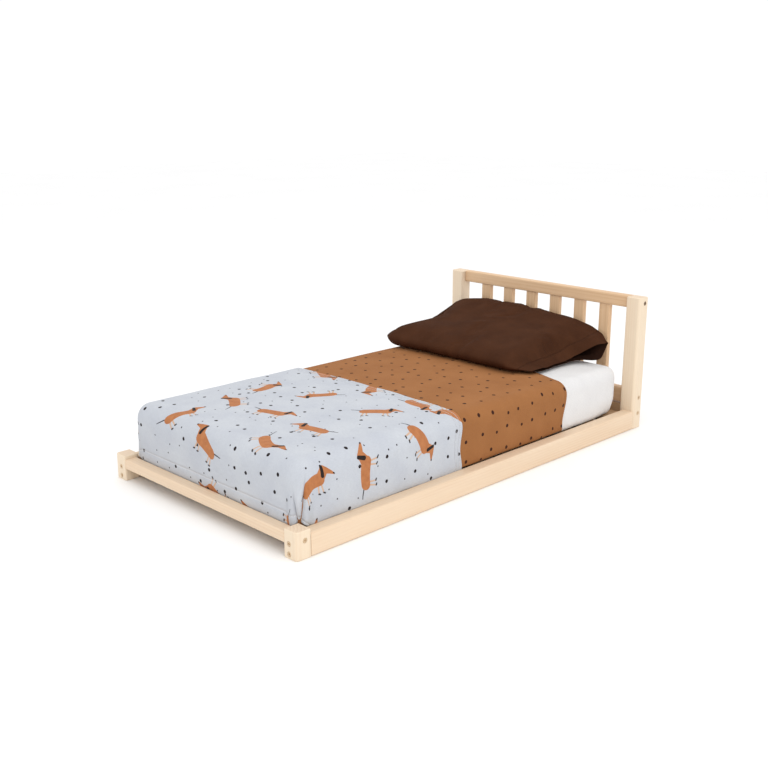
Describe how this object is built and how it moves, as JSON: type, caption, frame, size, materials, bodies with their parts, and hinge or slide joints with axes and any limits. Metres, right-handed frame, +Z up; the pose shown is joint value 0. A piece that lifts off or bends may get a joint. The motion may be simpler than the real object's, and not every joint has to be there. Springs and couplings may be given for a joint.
{
  "type": "toddler bed",
  "caption": "Low pine toddler bed with a slatted headboard, mattress on cross slats, fitted sheet, cover, blanket and pillow.",
  "frame": {"origin": "on the floor, at the middle of the frame's outside rectangle", "axes": "+Z up; +Y runs from the foot to the headboard, along the bed's length; +X is the right-hand side seen from the foot"},
  "size_m": [0.782, 1.442, 0.426],
  "materials": {
    "post_pine": "satin",
    "rail_pine": "satin",
    "support_pine": "matte",
    "screw_steel": "satin",
    "webbing": "matte",
    "mattress_ticking": "matte",
    "white_cotton": "matte",
    "ochre_cotton": "matte",
    "grey_blue_blanket": "matte",
    "brown_cotton": "matte"
  },
  "bodies": {
    "frame": {"bed_slat_01": "support_pine", "bed_slat_02": "support_pine", "bed_slat_03": "support_pine", "bed_slat_04": "support_pine", "bed_slat_05": "support_pine", "bed_slat_06": "support_pine", "bed_slat_07": "support_pine", "bed_slat_08": "support_pine", "bed_slat_09": "support_pine", "bed_slat_10": "support_pine", "bed_slat_11": "support_pine", "cleat_screw_left_1": "screw_steel", "cleat_screw_left_2": "screw_steel", "cleat_screw_left_3": "screw_steel", "cleat_screw_right_1": "screw_steel", "cleat_screw_right_2": "screw_steel", "cleat_screw_right_3": "screw_steel", "foot_post_left": "post_pine", "foot_post_right": "post_pine", "foot_rail": "rail_pine", "foot_rail_screw_left": "screw_steel", "foot_rail_screw_right": "screw_steel", "foot_screw_left_lower": "screw_steel", "foot_screw_left_upper": "screw_steel", "foot_screw_right_lower": "screw_steel", "foot_screw_right_upper": "screw_steel", "head_cross_rail": "rail_pine", "head_cross_rail_screw_left": "screw_steel", "head_cross_rail_screw_right": "screw_steel", "head_post_left": "post_pine", "head_post_right": "post_pine", "head_screw_left_lower": "screw_steel", "head_screw_left_upper": "screw_steel", "head_screw_right_lower": "screw_steel", "head_screw_right_upper": "screw_steel", "headboard_lower_rail": "rail_pine", "headboard_lower_rail_screw_left": "screw_steel", "headboard_lower_rail_screw_right": "screw_steel", "headboard_slat_1": "rail_pine", "headboard_slat_2": "rail_pine", "headboard_slat_3": "rail_pine", "headboard_slat_4": "rail_pine", "headboard_slat_5": "rail_pine", "headboard_slat_6": "rail_pine", "headboard_top_rail": "rail_pine", "headboard_top_rail_screw_left": "screw_steel", "headboard_top_rail_screw_right": "screw_steel", "side_rail_left": "rail_pine", "side_rail_right": "rail_pine", "slat_cleat_left": "support_pine", "slat_cleat_right": "support_pine", "slat_strap_left": "webbing", "slat_strap_right": "webbing"},
    "mattress": {"mattress": "mattress_ticking", "fitted_sheet": "white_cotton", "bed_cover": "ochre_cotton", "blanket": "grey_blue_blanket"},
    "pillow": {"pillow": "brown_cotton"}
  },
  "joints": [
    {"name": "mattress_lift", "type": "slide", "parent": "frame", "child": "mattress", "axis": [0, 0, 1], "range_m": [0, 0.3]},
    {"name": "pillow_lift", "type": "slide", "parent": "mattress", "child": "pillow", "axis": [0, 0, 1], "range_m": [0, 0.3]}
  ]
}
